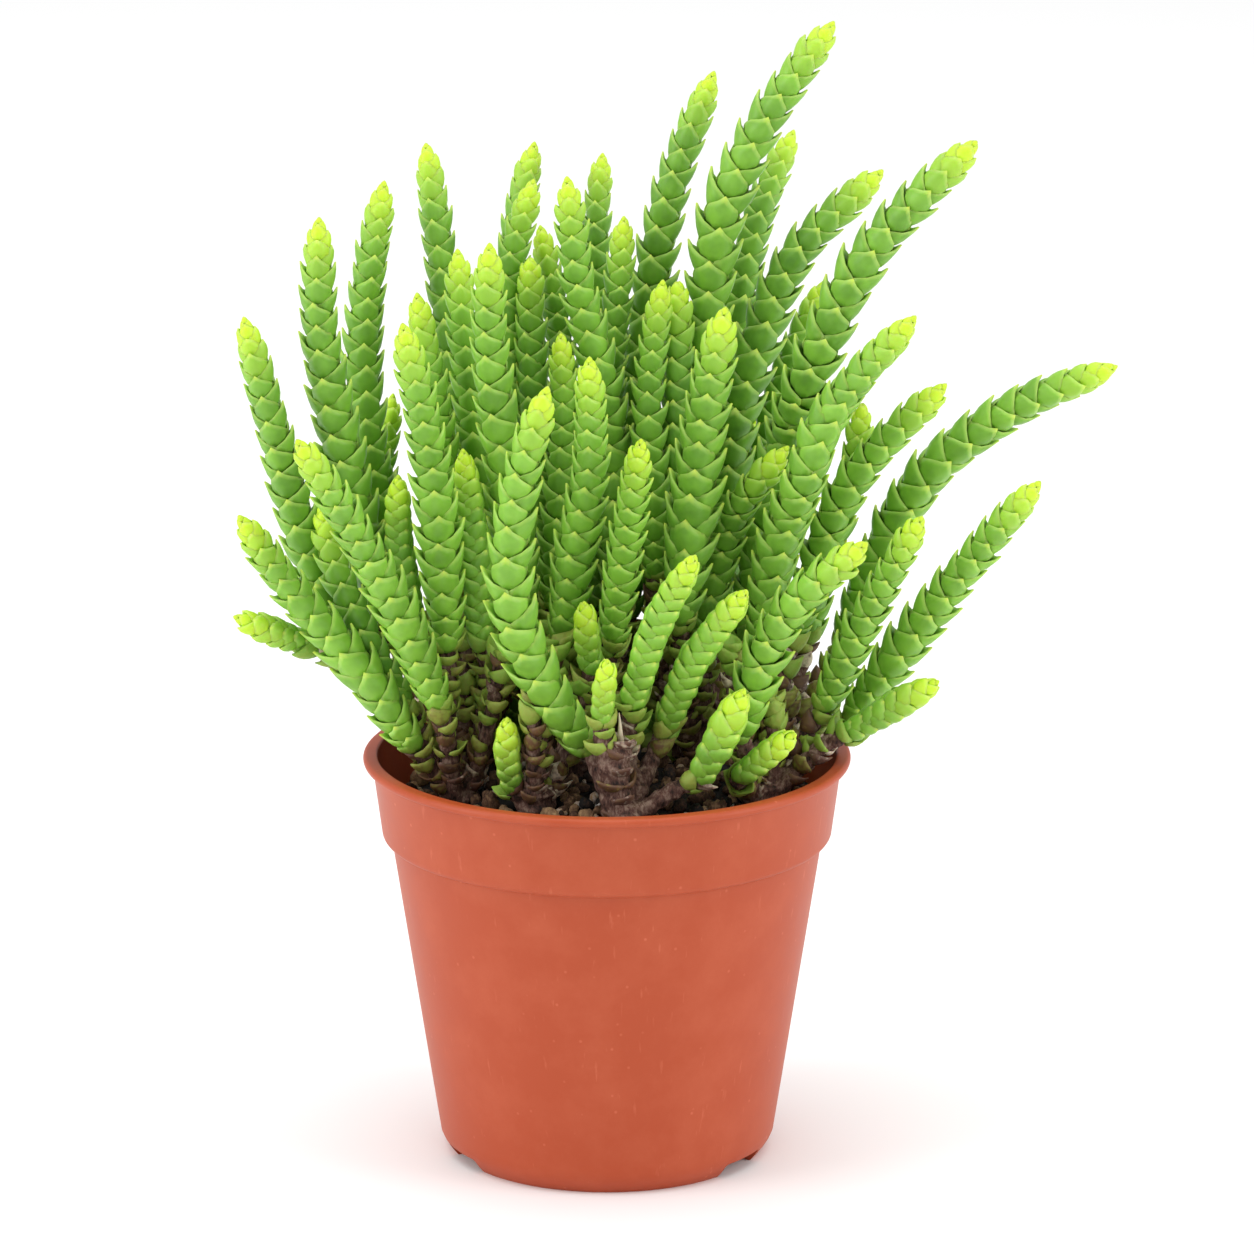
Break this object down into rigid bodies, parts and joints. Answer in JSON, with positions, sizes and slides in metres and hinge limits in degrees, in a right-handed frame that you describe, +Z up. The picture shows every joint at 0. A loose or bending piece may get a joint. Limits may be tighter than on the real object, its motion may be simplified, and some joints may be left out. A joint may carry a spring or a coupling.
{
  "type": "potted watch chain crassula",
  "caption": "Potted succulent: upright, curving shoots clad in small tight scale leaves, on woody stems in soil in a tapered plastic nursery pot.",
  "frame": {"origin": "on the ground, under the middle of the whole part's outline; the pot's axis stands at x = -0.0127, y = -0.0017 m", "axes": "+Z up along the pot's axis and the plant's height, +X to the picture's right, +Y away from the picture's camera"},
  "size_m": [0.1628, 0.0934, 0.2099],
  "materials": {
    "pot": "satin moulded terracotta-coloured polypropylene",
    "soil": "rough dark bark and fibre potting mix with pale pumice grains",
    "woody_stem": "dry ringed bark",
    "leaf": "waxy succulent leaf with a soft sheen"
  },
  "bodies": {
    "root": {"pot": "pot", "soil": "soil", "woody_stems_left": "woody_stem", "woody_stems_left_back": "woody_stem", "woody_stems_front_left": "woody_stem", "woody_stems_middle": "woody_stem", "woody_stems_back": "woody_stem", "woody_stems_right_back": "woody_stem", "woody_stems_right": "woody_stem", "woody_stems_front": "woody_stem", "leafy_shoot_01": "leaf", "leafy_shoot_02": "leaf", "leafy_shoot_03": "leaf", "leafy_shoot_04": "leaf", "leafy_shoot_05": "leaf", "leafy_shoot_06": "leaf", "leafy_shoot_07": "leaf", "leafy_shoot_08": "leaf", "leafy_shoot_09": "leaf", "leafy_shoot_10": "leaf", "leafy_shoot_11": "leaf", "leafy_shoot_12": "leaf", "leafy_shoot_13": "leaf", "leafy_shoot_14": "leaf", "leafy_shoot_15": "leaf", "leafy_shoot_16": "leaf", "leafy_shoot_17": "leaf", "leafy_shoot_18": "leaf", "leafy_shoot_19": "leaf", "leafy_shoot_20": "leaf", "leafy_shoot_21": "leaf", "leafy_shoot_22": "leaf", "leafy_shoot_23": "leaf", "leafy_shoot_24": "leaf", "leafy_shoot_25": "leaf", "leafy_shoot_26": "leaf", "leafy_shoot_27": "leaf", "leafy_shoot_28": "leaf", "leafy_shoot_29": "leaf", "leafy_shoot_30": "leaf", "leafy_shoot_31": "leaf", "leafy_shoot_32": "leaf", "leafy_shoot_33": "leaf", "leafy_shoot_34": "leaf", "leafy_shoot_35": "leaf", "leafy_shoot_36": "leaf", "leafy_shoot_37": "leaf", "leafy_shoot_38": "leaf", "leafy_shoot_39": "leaf", "leafy_shoot_40": "leaf", "leafy_shoot_41": "leaf", "leafy_shoot_42": "leaf", "leafy_shoot_43": "leaf", "leafy_shoot_44": "leaf", "leafy_shoot_45": "leaf", "leafy_shoot_46": "leaf", "leafy_shoot_47": "leaf", "leafy_shoot_48": "leaf", "leafy_shoot_49": "leaf", "leafy_shoot_50": "leaf"}
  },
  "joints": []
}
